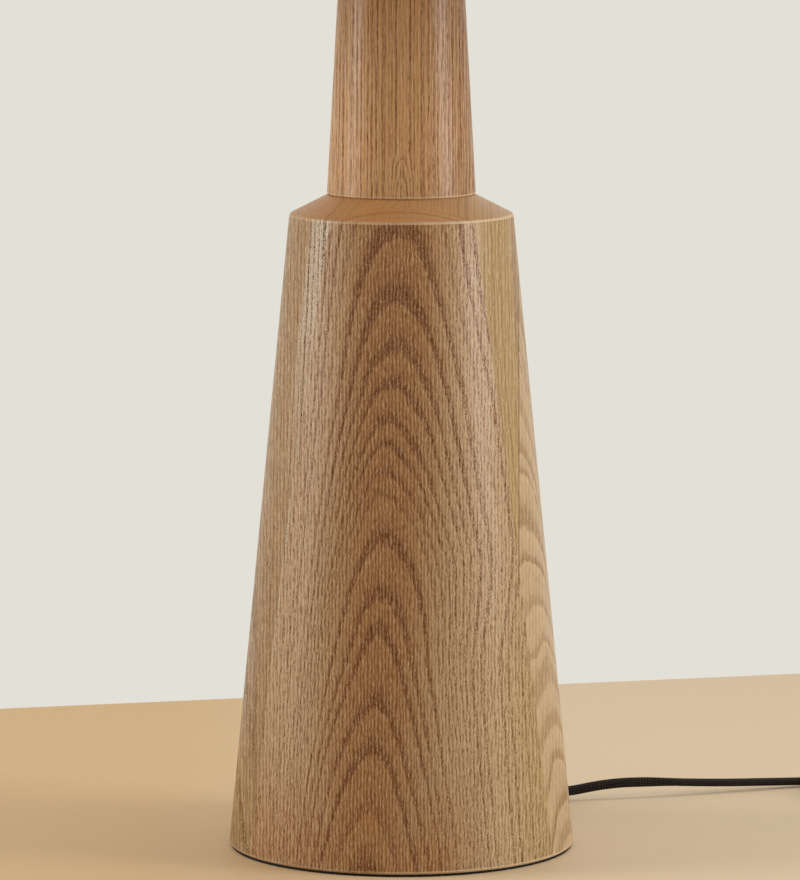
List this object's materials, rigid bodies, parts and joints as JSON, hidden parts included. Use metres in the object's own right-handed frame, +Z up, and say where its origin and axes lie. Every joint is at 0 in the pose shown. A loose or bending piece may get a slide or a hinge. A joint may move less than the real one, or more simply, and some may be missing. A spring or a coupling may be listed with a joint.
{
  "type": "table lamp",
  "caption": "Column table lamp: turned wooden cone and neck on a steel pipe, lamp holder, harp and tapered fabric shade, with a mains cord put away in a coil.",
  "frame": {"origin": "centre of the underside of the foot pad, on the lamp's axis, at table level", "axes": "+Z up along the lamp's axis, -Y towards the front, +X to the right, where the cord runs"},
  "size_m": [0.541, 0.4014, 0.7813],
  "materials": {
    "oak_cone_front": "clear matt oil",
    "oak_cone_side": "clear matt oil",
    "oak_neck": "clear matt oil",
    "foot_pad": "matt black foam rubber",
    "steel": "zinc plated",
    "brass": "satin",
    "harp_brass": "satin plated",
    "cord_braid": "black woven braid",
    "cord_rubber": "matt black",
    "plug_plastic": "moulded black",
    "knob_plastic": "moulded black",
    "phenolic": "dark moulded",
    "fibre_liner": "vulcanised fibre",
    "wire_insulation": "plain",
    "shade_wire": "white powder coat",
    "shade_linen": "off-white linen weave",
    "shade_film": "white film",
    "bulb_globe": "frosted",
    "bulb_clear_glass": "clear",
    "bulb_metal": "drawn",
    "bulb_black_glass": "fused glass",
    "tungsten": "drawn wire"
  },
  "bodies": {
    "root": {"base_board_front": "oak_cone_front", "base_board_mid_front": "oak_cone_side", "base_board_mid_back": "oak_cone_side", "base_board_back": "oak_cone_front", "column_neck": "oak_neck", "base_pad": "foot_pad", "lamp_pipe": "steel", "foot_washer": "steel", "foot_nut": "steel", "cord_bushing": "cord_rubber", "cord_inner": "cord_braid", "cord_lead": "cord_braid", "cord_coil": "cord_braid", "cord_tail": "cord_braid", "plug_body": "plug_plastic", "plug_blades": "brass", "neck_cap": "brass", "lock_nut": "brass", "harp_saddle": "harp_brass", "holder_cap": "brass", "holder_set_screw": "steel", "holder_shell": "brass", "holder_liner": "fibre_liner", "switch_block": "phenolic", "terminal_screws": "brass", "screw_shell": "brass", "centre_contact": "brass", "conductors": "wire_insulation"},
    "harp": {"harp": "harp_brass", "harp_ferrules": "brass"},
    "stud": {"harp_stud": "brass"},
    "shade": {"shade_spider": "shade_wire", "shade_bottom_ring": "shade_wire", "shade_liner": "shade_film", "shade_fabric": "shade_linen", "shade_trim_top": "shade_linen", "shade_trim_bottom": "shade_linen"},
    "finial": {"finial": "brass"},
    "knob": {"switch_knob": "knob_plastic", "switch_spindle": "brass"},
    "bulb": {"bulb_glass": "bulb_globe", "bulb_base": "bulb_metal", "bulb_contact": "bulb_metal", "bulb_insulator": "bulb_black_glass", "bulb_stem": "bulb_clear_glass", "bulb_filament": "tungsten"}
  },
  "joints": [
    {"name": "harp_lift", "type": "slide", "parent": "root", "child": "harp", "axis": [0, 0, 1], "range_m": [0, 0.025]},
    {"name": "shade_turn", "type": "hinge", "parent": "harp", "child": "stud", "pos_m": [0, 0, 0.7485], "axis": [0, 0, 1], "continuous": true},
    {"name": "shade_lift", "type": "slide", "parent": "stud", "child": "shade", "axis": [0, 0, 1], "range_m": [0, 0.25]},
    {"name": "finial_unscrew", "type": "slide", "parent": "shade", "child": "finial", "axis": [0, 0, 1], "range_m": [0, 0.018]},
    {"name": "switch_turn", "type": "hinge", "parent": "root", "child": "knob", "pos_m": [0, -0.0274, 0.5773], "axis": [0, -1, 0], "continuous": true},
    {"name": "bulb_unscrew", "type": "slide", "parent": "root", "child": "bulb", "axis": [0, 0, 1], "range_m": [0, 0.025]}
  ]
}
